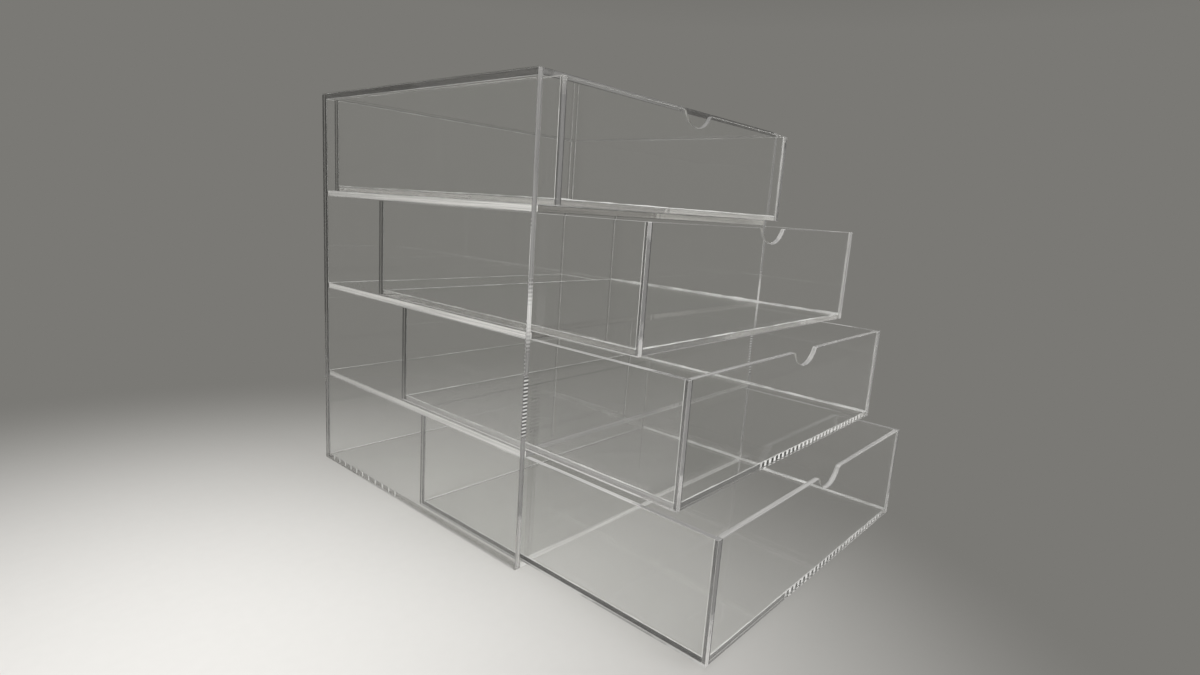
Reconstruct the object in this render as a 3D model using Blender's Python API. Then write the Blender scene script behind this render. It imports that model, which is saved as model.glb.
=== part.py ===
# Clear acrylic drawer tower for make-up: one open-fronted cabinet and four full-width drawers.
# Units are metres, +Z is up, the drawers open towards -Y, and the origin is the centre of the underside.

import math

import bmesh
import bpy
from mathutils import Vector

# Sheet stock
CABINET_SHEET = 0.0035
DRAWER_SHEET = 0.0030
EDGE_BREAK = 0.0002

# Cabinet
CABINET_WIDTH = 0.250
CABINET_DEPTH = 0.222
CABINET_HEIGHT = 0.270
TIERS = 4

# Clearances: the welded joints keep a hairline, and the drawers run loosely in their tiers
WELD_GAP = 0.0003
RUNNING_LIFT = 0.0003
SIDE_PLAY = 0.0015
TOP_PLAY = 0.0006
BACK_PLAY = 0.0005

# Drawers: how far a shut one stands out of the cabinet, and how far each is pulled out here
DRAWER_PROUD = 0.004
DRAWER_1_PULLED_OUT = 0.008
DRAWER_2_PULLED_OUT = 0.067
DRAWER_3_PULLED_OUT = 0.096
DRAWER_4_PULLED_OUT = 0.119

# Finger notch: a round bite with eased shoulders in the top edge of each drawer front
NOTCH_RADIUS = 0.0155
NOTCH_DEPTH = 0.009
NOTCH_SHOULDER = 0.002
NOTCH_STEPS = 20
SHOULDER_STEPS = 4

# Colours as linear shares of red, green and blue
CABINET_TINT_SHARES = (0.86, 0.88, 0.87, 1.0)
DRAWER_TINT_SHARES = (0.88, 0.89, 0.89, 1.0)
CABINET_ROUGHNESS_SHARE = 0.04
DRAWER_ROUGHNESS_SHARE = 0.06

# Worked out from the sizes above
OPENING_HEIGHT = (CABINET_HEIGHT - (TIERS + 1) * CABINET_SHEET) / TIERS
TIER_PITCH = OPENING_HEIGHT + CABINET_SHEET
INNER_WIDTH = CABINET_WIDTH - 2 * CABINET_SHEET
DRAWER_WIDTH = INNER_WIDTH - 2 * SIDE_PLAY
DRAWER_HEIGHT = OPENING_HEIGHT - RUNNING_LIFT - TOP_PLAY
DRAWER_LENGTH = CABINET_DEPTH - CABINET_SHEET - BACK_PLAY + DRAWER_PROUD
DRAWERS_PULLED_OUT = (
    DRAWER_1_PULLED_OUT,
    DRAWER_2_PULLED_OUT,
    DRAWER_3_PULLED_OUT,
    DRAWER_4_PULLED_OUT,
)


def clear_scene():
    for old in list(bpy.data.objects):
        bpy.data.objects.remove(old, do_unlink=True)


def acrylic(name, tint_shares, roughness_share):
    """A clear plastic: a pale tint, a polished face and no metal."""
    material = bpy.data.materials.new(name)
    material.use_nodes = True
    shader = material.node_tree.nodes["Principled BSDF"]
    shader.inputs["Base Color"].default_value = tint_shares
    shader.inputs["Roughness"].default_value = roughness_share
    shader.inputs["Metallic"].default_value = 0.0
    shader.inputs["Transmission Weight"].default_value = 1.0
    return material


def cabinet_acrylic():
    return acrylic("cabinet_acrylic", CABINET_TINT_SHARES, CABINET_ROUGHNESS_SHARE)


def drawer_acrylic():
    return acrylic("drawer_acrylic", DRAWER_TINT_SHARES, DRAWER_ROUGHNESS_SHARE)


def ease_edges(piece):
    """Adds the hairline break that flame or diamond polishing leaves on every edge."""
    bevel = piece.modifiers.new("edge_break", "BEVEL")
    bevel.width = EDGE_BREAK
    bevel.segments = 1
    bevel.limit_method = "ANGLE"
    bevel.angle_limit = math.radians(45)


def place(piece, centre, material, carrier):
    """Sets a piece at its centre in its carrier's space and gives it its finish."""
    piece.location = centre
    piece.data.materials.append(material)
    ease_edges(piece)
    if carrier is not None:
        piece.parent = carrier
    return piece


def rectangular_sheet(name, low, high, material, carrier=None):
    """A flat sheet between two opposite corners given in the carrier's space."""
    low = Vector(low)
    high = Vector(high)
    mesh = bpy.data.meshes.new(name)
    form = bmesh.new()
    bmesh.ops.create_cube(form, size=1.0)
    bmesh.ops.scale(form, vec=high - low, verts=form.verts)
    form.to_mesh(mesh)
    form.free()
    piece = bpy.data.objects.new(name, mesh)
    bpy.context.scene.collection.objects.link(piece)
    return place(piece, (low + high) / 2, material, carrier)


def arc_points(centre_x, centre_z, radius, start, stop, steps):
    """Points along an arc from start to stop, in radians about its centre."""
    turns = [start + (stop - start) * step / steps for step in range(steps + 1)]
    return [(centre_x + radius * math.cos(turn), centre_z + radius * math.sin(turn)) for turn in turns]


def notch_outline(top_z):
    """The notch from left to right: shoulder arc, round bite, shoulder arc."""
    centre_z = top_z + NOTCH_RADIUS - NOTCH_DEPTH
    rise = NOTCH_RADIUS - NOTCH_DEPTH + NOTCH_SHOULDER
    reach = NOTCH_RADIUS + NOTCH_SHOULDER
    shoulder_x = math.sqrt(reach ** 2 - rise ** 2)
    shoulder_z = top_z - NOTCH_SHOULDER
    lean = math.atan2(rise, shoulder_x)
    quarter = math.pi / 2
    left = arc_points(-shoulder_x, shoulder_z, NOTCH_SHOULDER, quarter, lean, SHOULDER_STEPS)
    bite = arc_points(0, centre_z, NOTCH_RADIUS, math.pi + lean, 2 * math.pi - lean, NOTCH_STEPS)
    right = [(-x, z) for x, z in reversed(left)]
    return left + bite[1:-1] + right


def notched_sheet(name, low, high, material, carrier):
    """A drawer front: an upright sheet with the finger notch at the middle of its top edge."""
    low = Vector(low)
    high = Vector(high)
    half = (high - low) / 2
    corners_left = [(-half.x, half.z), (-half.x, -half.z)]
    corners_right = [(half.x, -half.z), (half.x, half.z)]
    outline = corners_left + corners_right + list(reversed(notch_outline(half.z)))
    mesh = bpy.data.meshes.new(name)
    form = bmesh.new()
    rim = [form.verts.new((x, -half.y, z)) for x, z in outline]
    face = form.faces.new(rim)
    grown = bmesh.ops.extrude_face_region(form, geom=[face])
    far_side = [item for item in grown["geom"] if isinstance(item, bmesh.types.BMVert)]
    bmesh.ops.translate(form, vec=(0, 2 * half.y, 0), verts=far_side)
    bmesh.ops.recalc_face_normals(form, faces=form.faces)
    form.to_mesh(mesh)
    form.free()
    piece = bpy.data.objects.new(name, mesh)
    bpy.context.scene.collection.objects.link(piece)
    return place(piece, (low + high) / 2, material, carrier)


def shelf_bottom(level):
    """Height of the underside of a level sheet: 0 is the cabinet's bottom, TIERS its top."""
    return level * TIER_PITCH


def build_cabinet(material):
    """The carcass: two full sides, a back between them, and five level sheets between all three."""
    half_width = CABINET_WIDTH / 2
    half_depth = CABINET_DEPTH / 2
    inner = half_width - CABINET_SHEET
    back_front = half_depth - CABINET_SHEET
    welded = inner - WELD_GAP
    rectangular_sheet(
        "cabinet_left_side",
        (-half_width, -half_depth, 0),
        (-inner, half_depth, CABINET_HEIGHT),
        material,
    )
    rectangular_sheet(
        "cabinet_right_side",
        (inner, -half_depth, 0),
        (half_width, half_depth, CABINET_HEIGHT),
        material,
    )
    rectangular_sheet(
        "cabinet_back",
        (-welded, back_front, 0),
        (welded, half_depth, CABINET_HEIGHT),
        material,
    )
    names = {0: "cabinet_bottom", TIERS: "cabinet_top"}
    for level in range(TIERS + 1):
        name = names.get(level, f"cabinet_shelf_{TIERS - level}")
        bottom = shelf_bottom(level)
        rectangular_sheet(
            name,
            (-welded, -half_depth, bottom),
            (welded, back_front - WELD_GAP, bottom + CABINET_SHEET),
            material,
        )


def drawer_slide(number, pulled_out):
    """The empty a drawer hangs on: on its slide's axis, at the drawer's front, on its running face."""
    slide = bpy.data.objects.new(f"drawer_{number}_slide", None)
    bpy.context.scene.collection.objects.link(slide)
    floor = shelf_bottom(TIERS - number) + CABINET_SHEET
    shut_front = -CABINET_DEPTH / 2 - DRAWER_PROUD
    slide.location = (0, shut_front - pulled_out, floor + RUNNING_LIFT)
    return slide


def build_drawer(number, pulled_out, material):
    """A drawer: full-length sides, front and back between them, and a bottom inside all four."""
    slide = drawer_slide(number, pulled_out)
    half_width = DRAWER_WIDTH / 2
    inner = half_width - DRAWER_SHEET
    welded = inner - WELD_GAP
    front_inner = DRAWER_SHEET
    back_inner = DRAWER_LENGTH - DRAWER_SHEET
    prefix = f"drawer_{number}"
    rectangular_sheet(
        f"{prefix}_left_side",
        (-half_width, 0, 0),
        (-inner, DRAWER_LENGTH, DRAWER_HEIGHT),
        material,
        slide,
    )
    rectangular_sheet(
        f"{prefix}_right_side",
        (inner, 0, 0),
        (half_width, DRAWER_LENGTH, DRAWER_HEIGHT),
        material,
        slide,
    )
    notched_sheet(
        f"{prefix}_front",
        (-welded, 0, 0),
        (welded, front_inner, DRAWER_HEIGHT),
        material,
        slide,
    )
    rectangular_sheet(
        f"{prefix}_back",
        (-welded, back_inner, 0),
        (welded, DRAWER_LENGTH, DRAWER_HEIGHT),
        material,
        slide,
    )
    rectangular_sheet(
        f"{prefix}_bottom",
        (-welded, front_inner + WELD_GAP, 0),
        (welded, back_inner - WELD_GAP, DRAWER_SHEET),
        material,
        slide,
    )


def main():
    clear_scene()
    build_cabinet(cabinet_acrylic())
    finish = drawer_acrylic()
    for number, pulled_out in enumerate(DRAWERS_PULLED_OUT, start=1):
        build_drawer(number, pulled_out, finish)


main()
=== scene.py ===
# %% [markdown]
# # A clear acrylic drawer tower for make-up
#
# The real thing is cut from polished acrylic sheet and put together with solvent cement. A cabinet
# of eight sheets stands open at the front. Four drawers of five sheets each slide in it, pulled by a
# round finger notch. There is nothing on it but clear sheet, so all of its looks come from three
# things: what each sheet bends and mirrors, the machined edges that catch the light, and the thin
# weld lines where two sheets meet.
#
# The frame gives the sheets themselves, at their true size. This script gives them their material,
# adds the weld lines, and sets up a plain studio. Units are metres, +Z is up and the drawers open
# towards -Y.

import math

import bpy
import numpy as np
from mathutils import Matrix, Vector


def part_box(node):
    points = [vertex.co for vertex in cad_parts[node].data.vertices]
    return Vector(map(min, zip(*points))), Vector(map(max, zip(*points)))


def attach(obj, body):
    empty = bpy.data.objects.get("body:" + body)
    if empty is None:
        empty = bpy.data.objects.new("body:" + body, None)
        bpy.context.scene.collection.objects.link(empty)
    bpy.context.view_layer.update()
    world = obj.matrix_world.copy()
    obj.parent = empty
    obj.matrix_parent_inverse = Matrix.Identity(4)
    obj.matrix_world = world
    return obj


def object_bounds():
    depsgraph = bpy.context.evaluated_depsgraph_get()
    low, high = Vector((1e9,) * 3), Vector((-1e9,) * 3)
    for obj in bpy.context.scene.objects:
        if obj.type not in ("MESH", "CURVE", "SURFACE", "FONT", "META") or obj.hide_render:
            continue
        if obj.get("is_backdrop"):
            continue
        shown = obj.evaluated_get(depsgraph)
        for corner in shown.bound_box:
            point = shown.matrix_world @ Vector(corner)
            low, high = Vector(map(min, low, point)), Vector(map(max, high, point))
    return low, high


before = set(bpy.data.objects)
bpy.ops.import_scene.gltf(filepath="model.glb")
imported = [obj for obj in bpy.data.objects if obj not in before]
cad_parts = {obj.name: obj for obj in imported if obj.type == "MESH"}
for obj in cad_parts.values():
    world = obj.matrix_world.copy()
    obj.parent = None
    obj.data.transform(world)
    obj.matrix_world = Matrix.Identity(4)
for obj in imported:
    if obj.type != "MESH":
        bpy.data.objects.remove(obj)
CAD_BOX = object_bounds()
SCENE = bpy.context.scene
SCENE.view_settings.view_transform = "Standard"

# %% [markdown]
# ## Camera
#
# The photograph was taken from close by with a wide lens, just below the top of the tower and a
# little tilted. A camera could be placed by eye, but a clear object shows every error: its lines
# cross each other in other places. So these numbers come from matching sheet corners and points
# along the long edges with the photograph.

# %% Camera
CAMERA_PLACE = (-0.358237, -0.364373, 0.203008)
CAMERA_HEADING = 49.133
CAMERA_DIP = 10.885
CAMERA_ROLL = 3.929
FOCAL_PIXELS = 662.093
IMAGE_WIDTH = 1200
SENSOR_WIDTH = 36.0
CLIP_NEAR = 0.01
CLIP_FAR = 50.0


def add_camera():
    """A camera at the photograph's place: heading from +Y towards +X, dip below level, and roll."""
    heading = math.radians(CAMERA_HEADING)
    dip = math.radians(CAMERA_DIP)
    roll = math.radians(CAMERA_ROLL)
    reach = math.cos(dip)
    ahead = Vector((math.sin(heading) * reach, math.cos(heading) * reach, -math.sin(dip)))
    level_right = Vector((math.cos(heading), -math.sin(heading), 0.0))
    level_up = level_right.cross(ahead)
    right = level_right * math.cos(roll) + level_up * math.sin(roll)
    up = level_up * math.cos(roll) - level_right * math.sin(roll)
    data = bpy.data.cameras.new("photo_camera")
    data.sensor_width = SENSOR_WIDTH
    data.lens = FOCAL_PIXELS / IMAGE_WIDTH * SENSOR_WIDTH
    data.clip_start = CLIP_NEAR
    data.clip_end = CLIP_FAR
    camera = bpy.data.objects.new("photo_camera", data)
    SCENE.collection.objects.link(camera)
    turn = Matrix((right, up, -ahead)).transposed().to_4x4()
    camera.matrix_world = Matrix.Translation(CAMERA_PLACE) @ turn
    SCENE.camera = camera
    return camera


CAMERA = add_camera()
print("camera lens", round(CAMERA.data.lens, 3), "mm")

# %% [markdown]
# ## Short calls for materials
#
# A material is a net of nodes. Nodes can be made one by one, but then the sum that they stand for
# gets lost among the links. These few calls keep each net short: one makes a node and links its
# inputs, the others name the sums that come back often.

# %% Node helpers


class Net:
    """The node tree of one material or world, with short calls for adding nodes to it."""

    def __init__(self, tree):
        self.tree = tree
        self.tree.nodes.clear()

    def add(self, kind, settings=None, **inputs):
        """Makes a node; an input may be a number, a colour or another node's output."""
        node = self.tree.nodes.new(kind)
        for key, value in (settings or {}).items():
            setattr(node, key, value)
        for key, value in inputs.items():
            self.feed(node, key, value)
        return node

    def feed(self, node, key, value):
        """Sets or links one input, by its name or as i0, i1 and so on by its place."""
        name = key.replace("_", " ")
        by_place = key[0] == "i" and key[1:].isdigit()
        self.plug(node.inputs[int(key[1:])] if by_place else node.inputs[name], value)

    def plug(self, socket, value):
        """Links another node's output to a socket, or sets the socket's own value."""
        if isinstance(value, bpy.types.NodeSocket):
            self.tree.links.new(value, socket)
        else:
            socket.default_value = value

    def maths(self, operation, *values, clamp=False):
        """A Math node: values are its inputs in order."""
        inputs = {f"i{place}": value for place, value in enumerate(values)}
        settings = {"operation": operation, "use_clamp": clamp}
        return self.add("ShaderNodeMath", settings, **inputs).outputs[0]

    def vector_maths(self, operation, *values):
        """A Vector Math node; the ones that give a number return that."""
        inputs = {f"i{place}": value for place, value in enumerate(values)}
        node = self.add("ShaderNodeVectorMath", {"operation": operation}, **inputs)
        return node.outputs["Value"] if operation in ("DOT_PRODUCT", "DISTANCE") else node.outputs[0]

    def noise(self, place, scale, detail=2.0, roughness=0.5):
        """Smooth noise about 0.5, with features of about 1 / scale metres."""
        inputs = {"Vector": place, "Scale": scale, "Detail": detail, "Roughness": roughness}
        return self.add("ShaderNodeTexNoise", None, **inputs).outputs[0]

    def between(self, value, low, high, to_low, to_high, easing="LINEAR"):
        """Maps low..high on to to_low..to_high, held at both ends."""
        settings = {"clamp": True, "interpolation_type": easing}
        limits = {"From_Min": low, "From_Max": high, "To_Min": to_low, "To_Max": to_high}
        return self.add("ShaderNodeMapRange", settings, Value=value, **limits).outputs[0]

    def blend(self, share, first, second):
        """Mixes two numbers or two colours; share 0 gives the first."""
        is_colour = any(
            (isinstance(v, bpy.types.NodeSocket) and v.type == "RGBA") or isinstance(v, tuple)
            for v in (first, second)
        )
        node = self.add("ShaderNodeMix", {"data_type": "RGBA" if is_colour else "FLOAT"})
        for socket, value in zip([s for s in node.inputs if s.enabled], (share, first, second)):
            self.plug(socket, value)
        return [s for s in node.outputs if s.enabled][0]

    def shader_blend(self, share, first, second):
        """A Mix Shader of two shader nodes; share 0 gives the first."""
        inputs = {"i0": share, "i1": first.outputs[0], "i2": second.outputs[0]}
        return self.add("ShaderNodeMixShader", None, **inputs)

    def finish(self, shader, output="ShaderNodeOutputMaterial"):
        """Sends a shader node to the output."""
        self.tree.links.new(shader.outputs[0], self.add(output).inputs["Surface"])


def new_net(name):
    """A new material with an empty net."""
    material = bpy.data.materials.new(name)
    material.use_nodes = True
    return material, Net(material.node_tree)


# %% [markdown]
# ## Light goes through
#
# A real sheet throws no dark shadow: nearly all light comes out on its other side. A path tracer
# finds such light only by chance, as bright specks. So lamps and light bounced off the floor pass
# straight through each sheet, a little weaker, while the eye still sees the bending glass.

# %% Letting lamps and bounced light through
ACRYLIC_IOR = 1.49
FACE_PASS = (0.955, 0.956, 0.953, 1.0)
EDGE_PASS = (0.80, 0.80, 0.795, 1.0)


def let_light_through(net, shader, passed_colour):
    """The shader for what the eye sees, plain transparency for lamps and for diffuse bounces."""
    passed = net.add("ShaderNodeBsdfTransparent", Color=passed_colour)
    path = net.add("ShaderNodeLightPath")
    for_bounced = net.shader_blend(path.outputs["Is Diffuse Ray"], shader, passed)
    return net.shader_blend(path.outputs["Is Shadow Ray"], for_bounced, passed)


# %% [markdown]
# ## Faces and edges
#
# A sheet has two kinds of surface. Its big faces are cast against glass and stay that bright. Its
# edges were sawn or milled, and no two were left alike. One net can make both, because the way a
# face looks tells them apart: along the thin axis it is a face, and otherwise an edge. A small
# table of shares then says how milky, or how rippled, the edges of a sheet are in each direction.

# %% Which way a face looks
AXES = {"x": (1.0, 0.0, 0.0), "y": (0.0, 1.0, 0.0), "z": (0.0, 0.0, 1.0)}
HERE_IS_FACE = 0.9


def by_facing(left=0.0, right=0.0, front=0.0, back=0.0, top=0.0, under=0.0):
    """A share for each way an edge can look, as two vectors: its -X -Y -Z and +X +Y +Z sides."""
    return (left, front, under), (right, back, top)


def outward_normal(net):
    """The way a face looks, out of the sheet.

    Seen from inside the sheet the renderer turns it round, so here it is turned back.
    """
    geometry = net.add("ShaderNodeNewGeometry")
    side = net.maths("MULTIPLY_ADD", geometry.outputs["Backfacing"], -2.0, 1.0)
    settings = {"operation": "SCALE"}
    turned = net.add("ShaderNodeVectorMath", settings, i0=geometry.outputs["True Normal"], Scale=side)
    return turned.outputs[0]


def share_by_facing(net, normal, shares):
    """Looks up the share of the way a face looks: max(-n, 0) . lower + max(n, 0) . upper."""
    lower, upper = shares
    nothing = (0.0, 0.0, 0.0)
    flipped = net.vector_maths("SUBTRACT", nothing, normal)
    on_lower = net.vector_maths("DOT_PRODUCT", net.vector_maths("MAXIMUM", flipped, nothing), lower)
    on_upper = net.vector_maths("DOT_PRODUCT", net.vector_maths("MAXIMUM", normal, nothing), upper)
    return net.maths("ADD", on_lower, on_upper, clamp=True)


def along_edge(net, place, normal, axis):
    """Place along an edge in metres: what is left without its normal and the thin axis."""
    facing = net.vector_maths("ABSOLUTE", normal)
    free = net.vector_maths("SUBTRACT", (1.0, 1.0, 1.0), facing)
    others = tuple(1.0 - share for share in axis)
    return net.vector_maths("DOT_PRODUCT", place, net.vector_maths("MULTIPLY", free, others))


# %% [markdown]
# ## What the cutter left
#
# Seen close, an edge has three marks. The blade runs along it and leaves fine streaks. Where it
# shook, it cut a ripple across the edge, and each crest is painted milky white as a short dash, a
# painted glint for the shine of a lamp on the crest. And someone polished the edge by hand, so a
# stretch of it is clear and the next one milky, with a few bands where one turns into the other.
# Each mark is a sine or a noise in metres, so it keeps its true size on every sheet.

# %% Marks on an edge
PHASE_DRIFT = 5.0
DRIFT_SCALE = 30.0
CHATTER_FADE = 0.88
STREAKS_ACROSS = 1000.0
STREAKS_ALONG = 12.0
RUN_SCALE = 13.0
RUN_BANDS = 0.012
RUN_SHARPNESS = 4.0
RUN_CLEAR = 0.43
RUN_MILKY = 0.48
SQUARE_ENOUGH = 0.97


def cutter_ripple(net, place, along, chatter):
    """A sine of the given pitch whose phase drifts, and 1 where the cutter shook, fading to 0."""
    pitch, middle, reach, _ = chatter
    drift = net.maths("MULTIPLY", net.noise(place, DRIFT_SCALE), PHASE_DRIFT)
    ripple = net.maths("SINE", net.maths("MULTIPLY_ADD", along, 2 * math.pi / pitch, drift))
    off_middle = net.maths("ABSOLUTE", net.maths("SUBTRACT", along, middle))
    return ripple, net.between(off_middle, reach * CHATTER_FADE, reach, 1.0, 0.0)


def saw_streaks(net, place, axis):
    """Noise drawn out along the edge and fine across its thickness."""
    stretch = tuple(STREAKS_ALONG + (STREAKS_ACROSS - STREAKS_ALONG) * share for share in axis)
    return net.noise(net.vector_maths("MULTIPLY", place, stretch), 1.0, detail=2.0, roughness=0.6)


def milky_runs(net, place, along, ripple, least, stretch):
    """1 along the milky stretches of an edge, least along the clear ones, with bands between.

    stretch is the (middle, half length) of the one milky stretch; without it a noise sets them.
    """
    level = net.noise(place, RUN_SCALE, detail=0.0)
    if stretch:
        middle, reach = stretch
        off_middle = net.maths("ABSOLUTE", net.maths("SUBTRACT", along, middle))
        at_middle = (RUN_CLEAR + RUN_MILKY) / 2 + RUN_SHARPNESS * reach
        level = net.maths("MULTIPLY_ADD", off_middle, -RUN_SHARPNESS, at_middle)
    level = net.maths("MULTIPLY_ADD", ripple, RUN_BANDS, level)
    return net.between(level, RUN_CLEAR, RUN_MILKY, least, 1.0)


def is_square(net, normal):
    """1 on a straight edge, which looks along an axis, and 0 on the round of a notch: sum of n^4."""
    squared = net.vector_maths("MULTIPLY", normal, normal)
    fourths = net.vector_maths("DOT_PRODUCT", squared, squared)
    return net.maths("GREATER_THAN", fourths, SQUARE_ENOUGH)


# %% [markdown]
# ## The edges
#
# An edge mixes clear with milky by its marks. It could be one even frost, but then it would be a
# grey stripe from end to end. Dashes, which are painted glints, and milky runs whiten it, streaks
# shade it, and the height of the ripple breaks its shine.

# %% Finish of the edges
NOISE_SPAN = (0.3, 0.7)
# painted glint: the white of a dash stands in for a lamp's shine on a ripple crest
PAINTED_GLINT_COLOUR = (1.0, 0.995, 0.985, 1.0)
DASH_SOFTNESS = 0.4
STREAK_SHADE = 0.72
STREAK_SPAN = (0.38, 0.58)
EDGE_GRAIN_SCALE = 700.0
EDGE_ROUGHNESS = (0.08, 0.20)
RIPPLE_HEIGHT = 0.000025
STEADY_RIPPLE = 0.3


def edge_finish(
    net, place, normal, axis, edge_tint, frost, dashes, chatter, least=1.0, stretch=None
):
    """Colour, roughness and clearness of the edges, and the height of the ripple in metres.

    frost says how milky each edge is and dashes how much of the cutter's ripple is painted white as
    glints.
    chatter is where along the edge, in metres, the cutter shook, and how high on the ripple a dash
    starts: (pitch, middle, half its length, height from -1 to 1).
    least is how much of the frost is left where the edge was polished clear, which is all of it
    but the stretch (middle, half length), or wherever a noise says so.
    """
    along = along_edge(net, place, normal, axis)
    ripple, shaken = cutter_ripple(net, place, along, chatter)

    # frost, taken back between the dashes so that each dash stands out
    dashed = net.maths("MULTIPLY", shaken, share_by_facing(net, normal, dashes))
    # painted glint: the crests of the real ripple turn milky white
    crest = net.between(ripple, chatter[3], chatter[3] + DASH_SOFTNESS, 0.0, 1.0)
    dash = net.maths("MULTIPLY", crest, dashed)
    undashed = net.maths("SUBTRACT", 1.0, dashed)
    plain_frost = net.maths("MULTIPLY", share_by_facing(net, normal, frost), undashed)
    runs = milky_runs(net, place, along, ripple, least, stretch)
    milky = net.maths("MULTIPLY", plain_frost, runs)
    clear = net.maths("SUBTRACT", 1.0, net.maths("MAXIMUM", milky, dash), clamp=True)

    # tint and shine
    shaded_tint = tuple(STREAK_SHADE * share for share in edge_tint[:3]) + (1.0,)
    streak = net.between(saw_streaks(net, place, axis), *STREAK_SPAN, 0.0, 1.0)
    colour = net.blend(dash, net.blend(streak, shaded_tint, edge_tint), PAINTED_GLINT_COLOUR)
    rough = net.between(net.noise(place, EDGE_GRAIN_SCALE), *NOISE_SPAN, *EDGE_ROUGHNESS)

    # the ripple, full where the cutter shook and weaker elsewhere
    swing = net.maths("MULTIPLY_ADD", shaken, 1.0 - STEADY_RIPPLE, STEADY_RIPPLE)
    swing = net.maths("MULTIPLY", swing, RIPPLE_HEIGHT)
    swing = net.maths("MULTIPLY", swing, is_square(net, normal))
    return colour, rough, clear, net.maths("MULTIPLY", ripple, swing)


# %% [markdown]
# ## The faces
#
# A plain glass shader would make every face look the same and computer made. So the faces get the
# faintest waviness, smears from wiping and a little dust.

# %% Finish of the faces
SMEAR_STRETCH = (1.0, 2.3, 3.1)
SMEAR_SCALE = 22.0
SMEAR_SPAN = (0.45, 0.75)
SMEAR_ROUGHNESS = (0.0, 0.015)
DUST_SCALE = 900.0
DUST_SPAN = (0.78, 0.84)
DUST_CLEARNESS = (0.996, 0.9)
WAVE_SCALE = 14.0
WAVE_HEIGHT = 0.000004


def face_finish(net, place, tints):
    """Colour, roughness and clearness of the faces, and the height of their slow wave in metres."""
    smear_place = net.vector_maths("MULTIPLY", place, SMEAR_STRETCH)
    smear = net.noise(smear_place, SMEAR_SCALE, detail=5.0, roughness=0.65)
    dust = net.noise(place, DUST_SCALE, detail=1.0)
    colour = net.blend(smear, *tints)
    rough = net.between(smear, *SMEAR_SPAN, *SMEAR_ROUGHNESS)
    clear = net.between(dust, *DUST_SPAN, *DUST_CLEARNESS)
    wave = net.maths("MULTIPLY", net.noise(place, WAVE_SCALE, detail=1.0), WAVE_HEIGHT)
    return colour, rough, clear, wave


# %% [markdown]
# ## Clear acrylic
#
# Cast acrylic bends light by 1.49 and is almost without colour. Faces and edges could be two
# materials, but then the mesh of each sheet would need its faces sorted. So one net works out both
# finishes, and the way a face looks picks between them.

# %% Acrylic material


def acrylic(name, thin, face_tints, **edges):
    """Sheet acrylic whose thin axis is x, y or z; edges is what edge_finish takes."""
    material, net = new_net(name)
    axis = AXES[thin]
    place = net.add("ShaderNodeTexCoord").outputs["Object"]
    normal = outward_normal(net)
    towards_face = net.vector_maths("DOT_PRODUCT", net.vector_maths("ABSOLUTE", normal), axis)
    on_face = net.maths("GREATER_THAN", towards_face, HERE_IS_FACE)
    finishes = zip(edge_finish(net, place, normal, axis, **edges), face_finish(net, place, face_tints))
    colour, rough, clear, height = [net.blend(on_face, edge, face) for edge, face in finishes]
    bump = net.add("ShaderNodeBump", Strength=1.0, Distance=1.0, Height=height)
    shader = net.add("ShaderNodeBsdfPrincipled", IOR=ACRYLIC_IOR, Normal=bump.outputs[0])
    net.feed(shader, "Base Color", colour)
    net.feed(shader, "Roughness", rough)
    net.feed(shader, "Transmission Weight", clear)
    net.finish(let_light_through(net, shader, net.blend(on_face, EDGE_PASS, FACE_PASS)))
    return material


# %% [markdown]
# ## Tints and marks
#
# The photograph shows that not all edges were left alike. The shelf ends, welded against the sides,
# are the whitest lines on the tower. The exposed edges are a pale grey that looks white before a
# dark ground and grey before a pale one. The ends of the backs are clear but tinted dark, painted
# shade. And in three places the blade shook, each time with another pitch. These few tints and
# places come back in the rows of the table below.

# %% Tints and marks
CABINET_TINTS = ((0.972, 0.974, 0.970, 1.0), (0.988, 0.989, 0.986, 1.0))
DRAWER_TINTS = ((0.978, 0.979, 0.976, 1.0), (0.990, 0.991, 0.989, 1.0))
# painted shade: the ends of the back sheets are tinted dark as if they lay in shade
SHADE_PAINTED_EDGE = (0.24, 0.237, 0.232, 1.0)
GREY_EDGE = (0.32, 0.316, 0.308, 1.0)
BRIGHT_EDGE = (0.76, 0.75, 0.735, 1.0)
WHITE_EDGE = (0.97, 0.955, 0.935, 1.0)
NO_DASHES = by_facing()

# where the cutter shook: pitch of its ripple, middle and half length of the stretch along the edge,
# and the height on the ripple at which a dash starts
FINE_CHATTER = (0.0021, 0.096, 0.018, -0.1)
FRONT_CHATTER = (0.0053, 0.036, 0.080, -0.2)
SIDE_CHATTER = (0.0085, 0.068, 0.060, 0.6)

# %% [markdown]
# ## A finish for each kind of sheet
#
# One row of a table says what a kind of sheet is like: its thin axis, the tints of its faces and
# edges, how milky each edge is, and where it has dashes. The rows could be written out for all 28
# sheets, but most are alike.

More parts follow.
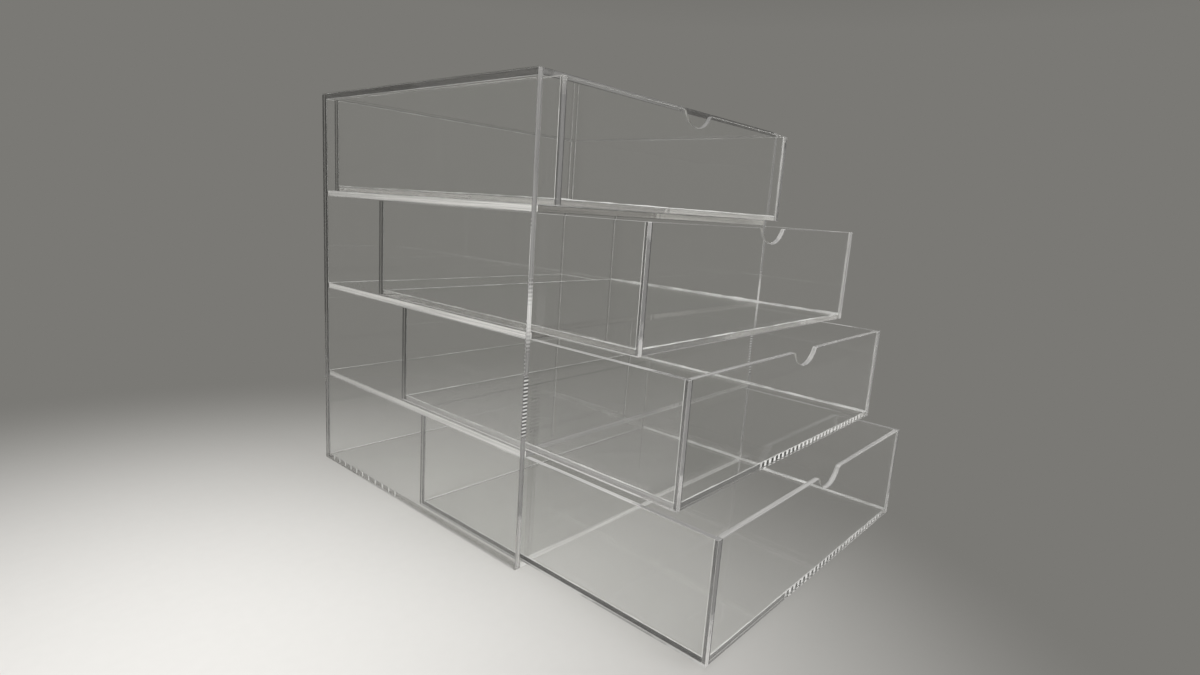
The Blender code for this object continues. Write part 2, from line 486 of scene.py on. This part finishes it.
# %% Finishes by kind of sheet
FINISH_TABLE = {
    "cabinet_side": {
        "thin": "x",
        "face_tints": CABINET_TINTS,
        "edge_tint": BRIGHT_EDGE,
        "frost": by_facing(front=0.85, under=0.05),
        "dashes": by_facing(front=0.6),
        "chatter": FINE_CHATTER,
        "least": 0.36,
        "stretch": (0.146, 0.012),
    },
    "cabinet_back": {
        "thin": "y",
        "face_tints": CABINET_TINTS,
        "edge_tint": SHADE_PAINTED_EDGE,
        "frost": by_facing(top=0.1, under=0.1),
        "dashes": NO_DASHES,
        "chatter": SIDE_CHATTER,
    },
    "cabinet_shelf": {
        "thin": "z",
        "face_tints": CABINET_TINTS,
        "edge_tint": WHITE_EDGE,
        "frost": by_facing(left=0.95, right=0.95, front=0.05),
        "dashes": NO_DASHES,
        "chatter": FRONT_CHATTER,
    },
    "cabinet_level": {
        "thin": "z",
        "face_tints": CABINET_TINTS,
        "edge_tint": GREY_EDGE,
        "frost": by_facing(left=0.35, right=0.35, front=0.5),
        "dashes": NO_DASHES,
        "chatter": SIDE_CHATTER,
        "least": 0.3,
        "stretch": (-0.06, 0.06),
    },
    "drawer_side": {
        "thin": "x",
        "face_tints": DRAWER_TINTS,
        "edge_tint": BRIGHT_EDGE,
        "frost": by_facing(front=0.45, top=0.75, under=0.9),
        "dashes": NO_DASHES,
        "chatter": SIDE_CHATTER,
        "least": 0.5,
    },
    "drawer_front": {
        "thin": "y",
        "face_tints": DRAWER_TINTS,
        "edge_tint": BRIGHT_EDGE,
        # painted light: the right end is milkier than the left, as light from the left makes it shine
        "frost": by_facing(left=0.15, right=0.75, top=0.45, under=0.3),
        "dashes": NO_DASHES,
        "chatter": FRONT_CHATTER,
    },
    "drawer_back": {
        "thin": "y",
        "face_tints": DRAWER_TINTS,
        "edge_tint": SHADE_PAINTED_EDGE,
        "frost": by_facing(top=0.5, under=0.2),
        "dashes": NO_DASHES,
        "chatter": FRONT_CHATTER,
    },
    "drawer_bottom": {
        "thin": "z",
        "face_tints": DRAWER_TINTS,
        "edge_tint": WHITE_EDGE,
        # painted light: the right end is milkier than the left, as light from the left makes it shine
        "frost": by_facing(left=0.05, right=0.9, front=0.15),
        "dashes": NO_DASHES,
        "chatter": FRONT_CHATTER,
    },
}
print("kinds of sheet:", len(FINISH_TABLE))

# %% [markdown]
# ## Sheets that differ from their kind
#
# Some sheets came out a little different, and one is painted darker. The lowest shelf has a greyer
# front edge, and its edges are tinted darker, painted shade, since the shelf ends look dimmer lower
# down. The side ends of the cabinet's bottom are a broken run of black and white, where the white
# dashes are painted glints. The sides of the top drawer are clearer at the front and those of the
# third milkier. The two lowest drawers have a bottom cut with a shaking blade, so its front end is
# painted with a row of white dashes, painted glints, and a front that is clearer below. Each of
# these takes the row of its kind and changes what differs.

# %% Variants of a kind
VARIANTS = {
    # painted shade: the lowest shelf's edges are tinted darker, as shelf ends look dimmer lower down
    "cabinet_shelf_painted_shade": {
        "like": "cabinet_shelf",
        "edge_tint": BRIGHT_EDGE,
        "frost": by_facing(left=0.95, right=0.95, front=0.35),
    },
    "cabinet_level_shaken": {
        "like": "cabinet_level",
        "edge_tint": BRIGHT_EDGE,
        "frost": by_facing(left=0.12, right=0.12, front=0.8),
        "dashes": by_facing(left=0.9, right=0.9),
        "least": 1.0,
    },
    "drawer_side_clearer": {
        "like": "drawer_side",
        "frost": by_facing(front=0.22, top=0.75, under=0.9),
    },
    "drawer_side_milkier": {
        "like": "drawer_side",
        "frost": by_facing(front=0.65, top=0.75, under=0.9),
    },
    "drawer_front_clearer": {
        "like": "drawer_front",
        "frost": by_facing(left=0.15, right=0.75, top=0.45, under=0.1),
    },
    "drawer_bottom_shaken": {
        "like": "drawer_bottom",
        "dashes": by_facing(front=1.0),
    },
    "drawer_bottom_whiter": {
        "like": "drawer_bottom",
        "dashes": by_facing(front=1.0),
        # painted light: the right end stays milkier than the left, as light from the left makes it
        # shine
        "frost": by_facing(left=0.42, right=0.9, front=0.15),
    },
}
for kind, changes in VARIANTS.items():
    row = {**FINISH_TABLE[changes["like"]], **changes}
    row.pop("like")
    FINISH_TABLE[kind] = row
FINISH = {kind: acrylic(f"acrylic_{kind}", **row) for kind, row in FINISH_TABLE.items()}
print("finishes:", len(FINISH))

# %% [markdown]
# ## Each sheet gets its finish
#
# The sheets keep their meshes and places from the frame. Only the material in their slots changes,
# and the name of a sheet says which row of the table is meant. The few that differ from their kind
# are listed by their names.

# %% Giving each sheet its finish
SHAKEN_DRAWERS = ("drawer_3", "drawer_4")
SPECIAL_SHEETS = {
    "cabinet_shelf_3": "cabinet_shelf_painted_shade",
    "cabinet_bottom": "cabinet_level_shaken",
    "drawer_1_left_side": "drawer_side_clearer",
    "drawer_1_right_side": "drawer_side_clearer",
    "drawer_3_left_side": "drawer_side_milkier",
    "drawer_3_right_side": "drawer_side_milkier",
    "drawer_3_bottom": "drawer_bottom_whiter",
}
SPECIAL_PARTS = {"front": "drawer_front_clearer", "bottom": "drawer_bottom_shaken"}


def kind_of(name):
    """Which row of the table a sheet belongs to."""
    if name in SPECIAL_SHEETS:
        return SPECIAL_SHEETS[name]
    if name.startswith("cabinet"):
        found = [word for word in ("side", "back", "shelf") if word in name]
        return f"cabinet_{found[0]}" if found else "cabinet_level"
    part = name.split("_", 2)[2]
    if name.startswith(SHAKEN_DRAWERS) and part in SPECIAL_PARTS:
        return SPECIAL_PARTS[part]
    return "drawer_side" if "side" in part else f"drawer_{part}"


for name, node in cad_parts.items():
    for slot in node.material_slots:
        slot.material = FINISH[kind_of(name)]
print("finishes in use:", sorted({kind_of(name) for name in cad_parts}))

# %% [markdown]
# ## The form of a weld bead
#
# The sheets are joined with a thin solvent cement that runs along each seam by itself. What is left
# in the inner corner is a bead at most about a millimetre wide, clear but never quite even. It
# catches the light as a hairline along every floor and corner. A bevelled curve could stand for it,
# but its round section would float off the corner. So each bead is one small surface: a hollow
# curved profile carried along the seam, its size wandering a little on the way.

# %% Bead surface
BEAD_LEG = 0.00055
BEAD_CLEAR = 0.00003
BEAD_STEP = 0.004
BEAD_PROFILE = 5
BEAD_WANDER = 0.12
WANDER_WAVES = np.array([2.0, 5.0, 11.0, 23.0])
WANDER_LENGTH = 0.2
WANDER_SEED = 7
chance = np.random.default_rng(WANDER_SEED)


def bead_points(start, end, first, second, size):
    """Rings of a bead from start to end: corner + leg w (u first + v second).

    The profile (u, v) is the quarter circle (1 - u)^2 + (1 - v)^2 = 1, closed by the corner itself.
    first and second point from the seam along the two sheets. w is 1 plus a sum of sines of the
    place on the seam.
    """
    length = np.linalg.norm(end - start)
    rings = max(3, int(length / BEAD_STEP))
    share = np.linspace(0.0, 1.0, rings + 1)
    waves = chance.uniform(0.0, 2 * np.pi, len(WANDER_WAVES))
    pace = WANDER_WAVES * length / WANDER_LENGTH
    wander = 1.0 + BEAD_WANDER * np.sin(np.outer(share, pace) * np.pi + waves).sum(axis=1)
    turn = np.linspace(0.0, np.pi / 2, BEAD_PROFILE)
    u = np.concatenate([[0.0], 1.0 - np.sin(turn)])
    v = np.concatenate([[0.0], 1.0 - np.cos(turn)])
    corner = start + np.outer(share, end - start) + BEAD_CLEAR * (first + second)
    legs = np.outer(u, first) + np.outer(v, second)
    return corner[:, None, :] + BEAD_LEG * size * wander[:, None, None] * legs[None, :, :]


def tube_faces(rings, sides, offset):
    """Faces of a closed tube of rings by sides points, capped at both ends."""
    index = np.arange(rings * sides).reshape(rings, sides) + offset
    after = np.roll(index, -1, axis=1)
    walls = np.stack([index[:-1], after[:-1], after[1:], index[1:]], axis=-1).reshape(-1, 4)
    return walls.tolist() + [index[0][::-1].tolist(), index[-1].tolist()]


# %% [markdown]
# ## Meshes from arrays
#
# All beads of one body are one object, because they move together and no one handles them apart.
# The profile runs from the first sheet to the second, so the turn from one to the other against the
# direction of the seam decides which side of the surface is out. Where it is the wrong way round,
# the faces are written backwards.

# %% Beads as one piece


def add_piece(name, points, faces, material):
    """A mesh object at the origin from points in metres."""
    mesh = bpy.data.meshes.new(name)
    mesh.from_pydata(points.tolist(), [], faces)
    mesh.validate()
    mesh.update()
    mesh.materials.append(material)
    piece = bpy.data.objects.new(name, mesh)
    SCENE.collection.objects.link(piece)
    return piece


def bead_set(name, seams, material):
    """All beads of one body. A seam is (start, end, first direction, second direction, size)."""
    points = []
    faces = []
    total = 0
    for start, end, first, second, size in seams:
        start, end, first, second = (np.asarray(v, float) for v in (start, end, first, second))
        rings = bead_points(start, end, first, second, size)
        count, sides = rings.shape[:2]
        tube = tube_faces(count, sides, total)
        if np.dot(np.cross(first, second), end - start) < 0:
            tube = [face[::-1] for face in tube]
        faces += tube
        points.append(rings.reshape(-1, 3))
        total += count * sides
    print(name, "seams", len(seams), "faces", len(faces))
    return add_piece(name, np.vstack(points), faces, material)


# %% [markdown]
# ## Set cement
#
# Cement that has set is clear like the sheet, but softly rough, and fine bubbles whiten it here and
# there. It could share the net of the sheets, but it has no faces or edges to tell apart. So it has
# a small net of its own: one noise for the bubbles, and a slower one for the whiter runs.

# %% Cement material
BUBBLE_SCALE = 1400.0
BUBBLE_HEIGHT = 0.00002
BUBBLE_TINTS = ((0.86, 0.86, 0.85, 1.0), (0.98, 0.975, 0.96, 1.0))
BUBBLE_ROUGHNESS = (0.05, 0.25)
CEMENT_RUNS = 45.0
CEMENT_SPAN = (0.35, 0.65)
CEMENT_CLEARNESS = (0.7, 0.25)


def cement():
    """The sheet's clear plastic with bubbles: tint, bump and roughness follow the same noise."""
    material, net = new_net("weld_cement")
    place = net.add("ShaderNodeTexCoord").outputs["Object"]
    bubbles = net.noise(place, BUBBLE_SCALE)
    height = net.maths("MULTIPLY", bubbles, BUBBLE_HEIGHT)
    bump = net.add("ShaderNodeBump", Strength=1.0, Distance=1.0, Height=height)
    rough = net.between(bubbles, *NOISE_SPAN, *BUBBLE_ROUGHNESS)
    clear = net.between(net.noise(place, CEMENT_RUNS), *CEMENT_SPAN, *CEMENT_CLEARNESS)
    shader = net.add("ShaderNodeBsdfPrincipled", IOR=ACRYLIC_IOR, Normal=bump.outputs[0])
    net.feed(shader, "Base Color", net.blend(bubbles, *BUBBLE_TINTS))
    net.feed(shader, "Roughness", rough)
    net.feed(shader, "Transmission Weight", clear)
    net.finish(let_light_through(net, shader, EDGE_PASS))
    return material


CEMENT = cement()
print("cement:", CEMENT.name)

# %% [markdown]
# ## Where the seams run
#
# The cabinet is four hollows above each other, open at the front, and each drawer is one hollow,
# open at the top. Their corners come from the boxes of the sheets in the frame, so the beads stay
# in their corners whatever the size of the tower. The cement was run in by hand, so it is thickest
# along the right of each drawer's floor, where it was let in, and thin in the corners it crept to.

# %% Seams of a hollow
X, Y, Z = (np.array(axis) for axis in AXES.values())
THIN = 0.3
FULL = 1.2
THICK = 2.0


def corner_seams(low, high, levels, left, right):
    """The two upright seams at the back of a hollow, and three round each level: (height, away).

    left and right are the sizes of the beads along the two sides; those at the back are thin.
    """
    (x0, y0, z0), (x1, y1, z1) = low, high
    seams = [
        ((x0, y1, z0), (x0, y1, z1), X, -Y, THIN),
        ((x1, y1, z0), (x1, y1, z1), -X, -Y, THIN),
    ]
    for z, away in levels:
        seams += [
            ((x0, y0, z), (x0, y1, z), X, away, left),
            ((x1, y0, z), (x1, y1, z), -X, away, right),
            ((x0, y1, z), (x1, y1, z), -Y, away, THIN),
        ]
    return seams


def front_seams(low, high):
    """The seams of a drawer's front: up both corners and along the floor."""
    (x0, y0, z0), (x1, _, z1) = low, high
    return [
        ((x0, y0, z0), (x0, y0, z1), X, Y, THIN),
        ((x1, y0, z0), (x1, y0, z1), -X, Y, FULL),
        ((x0, y0, z0), (x1, y0, z0), Y, Z, FULL),
    ]


# %% [markdown]
# ## The cabinet's beads
#
# Each tier between two level sheets is one hollow. Its beads run along the sheet below and the one
# above, and up both corners at the back. They hardly show in the photograph, so all of them are
# thin.

# %% Beads of the cabinet
LEVELS = (
    "cabinet_bottom",
    "cabinet_shelf_3",
    "cabinet_shelf_2",
    "cabinet_shelf_1",
    "cabinet_top",
)


def tier_hollow(lower, upper):
    """Lowest and highest corner of the space between two level sheets of the cabinet."""
    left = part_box("cabinet_left_side")
    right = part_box("cabinet_right_side")
    low = (left[1].x, left[0].y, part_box(lower)[1].z)
    high = (right[0].x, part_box("cabinet_back")[0].y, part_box(upper)[0].z)
    return low, high


cabinet_seams = []
for lower, upper in zip(LEVELS, LEVELS[1:]):
    low, high = tier_hollow(lower, upper)
    cabinet_seams += corner_seams(low, high, [(low[2], Z), (high[2], -Z)], THIN, THIN)
cabinet_beads = bead_set("cabinet_weld_beads", cabinet_seams, CEMENT)
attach(cabinet_beads, "cabinet")

# %% [markdown]
# ## The drawers' beads
#
# A drawer is one hollow with beads round its floor and up its four corners. Each set of beads rides
# on its own drawer, so it slides with it.

# %% Beads of the drawers


def drawer_hollow(body):
    """Lowest and highest corner of the space inside a drawer, from its own sheets."""
    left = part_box(f"{body}_left_side")
    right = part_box(f"{body}_right_side")
    low = (left[1].x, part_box(f"{body}_front")[1].y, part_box(f"{body}_bottom")[1].z)
    high = (right[0].x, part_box(f"{body}_back")[0].y, left[1].z)
    return low, high


for body in ("drawer_1", "drawer_2", "drawer_3", "drawer_4"):
    low, high = drawer_hollow(body)
    drawer_seams = corner_seams(low, high, [(low[2], Z)], FULL, THICK) + front_seams(low, high)
    beads = bead_set(f"{body}_weld_beads", drawer_seams, CEMENT)
    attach(beads, body)

# %% [markdown]
# ## Floor
#
# A clear object is only seen by what is behind it. Its bright edges want a grey ground, and its dark
# ones a pale ground. So a pale matt disc, lit by the lamps, is a painted pool of light at the near
# left, where the photograph is brightest: with growing distance from it the floor fades into a glow
# in the grey of the surround, painted shade. It has no rim, so no line crosses the clear sheets.

# %% Pale floor
SURROUND = (0.195, 0.191, 0.178, 1.0)
FLOOR_COLOUR = (0.79, 0.775, 0.75)
FLOOR_RADIUS = 6.0
FLOOR_RINGS = 24
FLOOR_SPOKES = 96
# painted pool of light: the floor is pale round this point and glows in the surround's grey further
# out
PAINTED_POOL_MIDDLE = (-0.27, -0.045, 0.0)
FADE_START = 0.0
FADE_END = 0.45
GRAIN_SCALE = 160.0
GRAIN_SHADE = 0.985


def disc_mesh(name, radius, rings, spokes):
    """A flat disc on the ground: x = r cos t, y = r sin t, r growing with the square of its ring."""
    ring = np.linspace(0.0, 1.0, rings + 1)[1:] ** 2 * radius
    turn = np.linspace(0.0, 2 * math.pi, spokes, endpoint=False)
    x = np.outer(ring, np.cos(turn)).ravel()
    y = np.outer(ring, np.sin(turn)).ravel()
    points = np.vstack([np.column_stack([x, y, np.zeros(len(x))]), [[0.0, 0.0, 0.0]]])
    index = np.arange(rings * spokes).reshape(rings, spokes)
    after = np.roll(index, -1, axis=1)
    quads = np.stack([index[:-1], index[1:], after[1:], after[:-1]], axis=-1).reshape(-1, 4)
    fan = np.stack([np.full(spokes, rings * spokes), index[0], after[0]], axis=-1)
    mesh = bpy.data.meshes.new(name)
    mesh.from_pydata(points.tolist(), [], quads.tolist() + fan.tolist())
    mesh.update()
    return mesh


def floor_material():
    """Matt, faintly grained, a painted pool of light that fades into a glow of the surround's grey,
    painted shade.
    """
    material, net = new_net("pale_floor")
    place = net.add("ShaderNodeTexCoord").outputs["Object"]
    distance = net.vector_maths("DISTANCE", place, PAINTED_POOL_MIDDLE)
    fade = net.between(distance, FADE_START, FADE_END, 0.0, 1.0, easing="SMOOTHSTEP")
    grain = net.between(net.noise(place, GRAIN_SCALE, detail=4.0), *NOISE_SPAN, GRAIN_SHADE, 1.0)
    shade = net.add("ShaderNodeVectorMath", {"operation": "SCALE"}, i0=FLOOR_COLOUR, Scale=grain)
    matt = net.add("ShaderNodeBsdfDiffuse", Color=shade.outputs[0])
    # painted shade: further out the floor glows in the surround's grey instead of being lit
    painted_shade_glow = net.add("ShaderNodeEmission", Color=SURROUND, Strength=1.0)
    net.finish(net.shader_blend(fade, matt, painted_shade_glow))
    return material


floor_mesh = disc_mesh("studio_floor", FLOOR_RADIUS, FLOOR_RINGS, FLOOR_SPOKES)
floor_mesh.materials.append(floor_material())
floor = bpy.data.objects.new("studio_floor", floor_mesh)
SCENE.collection.objects.link(floor)
floor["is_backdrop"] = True
print("floor faces:", len(floor_mesh.polygons))

# %% [markdown]
# ## Surround
#
# The surround is one even grey that turns dark towards the ceiling. An even dome would do for the
# floor, but the dark part is what polished edges mirror, and it draws them as crisp dark lines.

# %% Surround
CEILING = (0.030, 0.030, 0.029, 1.0)
CEILING_START = 0.25
CEILING_END = 0.75


def add_surround():
    """A world whose colour depends only on how steeply one looks up."""
    world = bpy.data.worlds.new("studio_surround")
    world.use_nodes = True
    net = Net(world.node_tree)
    towards = net.add("ShaderNodeTexCoord").outputs["Generated"]
    rise = net.vector_maths("DOT_PRODUCT", towards, AXES["z"])
    height = net.between(rise, CEILING_START, CEILING_END, 0.0, 1.0)
    shade = net.blend(height, SURROUND, CEILING)
    backdrop = net.add("ShaderNodeBackground", Color=shade, Strength=1.0)
    net.finish(backdrop, "ShaderNodeOutputWorld")
    SCENE.world = world


add_surround()

# %% [markdown]
# ## Lamps
#
# Four soft lamps light the milky edges. The main one stands on the camera's side and lights the
# floor's painted pool of light, one almost as strong stands in front, and two weaker ones stand behind
# and at the right.
# Polished sheet would mirror each lamp as a hard white block, so the sheets don't see them.

# %% Soft lamps
POOL_AIM = (-0.20, -0.08, 0.05)
TOWER_AIM = (0.0, -0.05, 0.12)

# name, place, aim, width and height in metres, power in watts
LAMPS = (
    ("key_softbox", (-0.85, -0.58, 0.95), POOL_AIM, 0.7, 0.7, 14.0),
    ("front_softbox", (0.20, -1.25, 0.60), TOWER_AIM, 0.6, 0.6, 13.0),
    ("back_softbox", (0.1, 0.9, 1.8), TOWER_AIM, 1.2, 0.8, 5.0),
    ("right_softbox", (1.1, 0.1, 0.75), TOWER_AIM, 0.6, 0.6, 5.0),
)


def softbox(name, place, aim, width, height, power):
    """A rectangular soft lamp at place, turned towards aim, that does not show in the sheets."""
    data = bpy.data.lights.new(name, "AREA")
    data.shape = "RECTANGLE"
    data.size = width
    data.size_y = height
    data.energy = power
    lamp = bpy.data.objects.new(name, data)
    SCENE.collection.objects.link(lamp)
    direction = Vector(aim) - Vector(place)
    lamp.location = place
    lamp.rotation_mode = "QUATERNION"
    lamp.rotation_quaternion = direction.to_track_quat("-Z", "Y")
    lamp.visible_glossy = False
    lamp.visible_transmission = False
    print(name, power, "W at", round(direction.length, 2), "m")


for lamp_settings in LAMPS:
    softbox(*lamp_settings)

# %% [markdown]
# ## Light paths
#
# Looking through the tower, one ray can cross a dozen sheets, which is two dozen surfaces, and it
# mirrors inside some of them. With too few bounces such a ray ends black, so the limits are high.
# Caustics are off, since lamp light already goes straight through the sheets.

# %% Light paths long enough for many sheets
SHEET_BOUNCES = 40
GLOSSY_BOUNCES = 12
DIFFUSE_BOUNCES = 4
SCENE.cycles.max_bounces = SHEET_BOUNCES
SCENE.cycles.transmission_bounces = SHEET_BOUNCES
SCENE.cycles.transparent_max_bounces = SHEET_BOUNCES
SCENE.cycles.glossy_bounces = GLOSSY_BOUNCES
SCENE.cycles.diffuse_bounces = DIFFUSE_BOUNCES
SCENE.cycles.caustics_reflective = False
SCENE.cycles.caustics_refractive = False
print("bounces:", SHEET_BOUNCES)

# %% [markdown]
# ## Size and close
#
# The dressed tower should keep the size of the plain one, so the growth of its box is printed.

# %% Close
NEW_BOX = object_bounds()
growth = (NEW_BOX[1] - NEW_BOX[0]) - (CAD_BOX[1] - CAD_BOX[0])
print("size grew by", [round(share, 6) for share in growth])
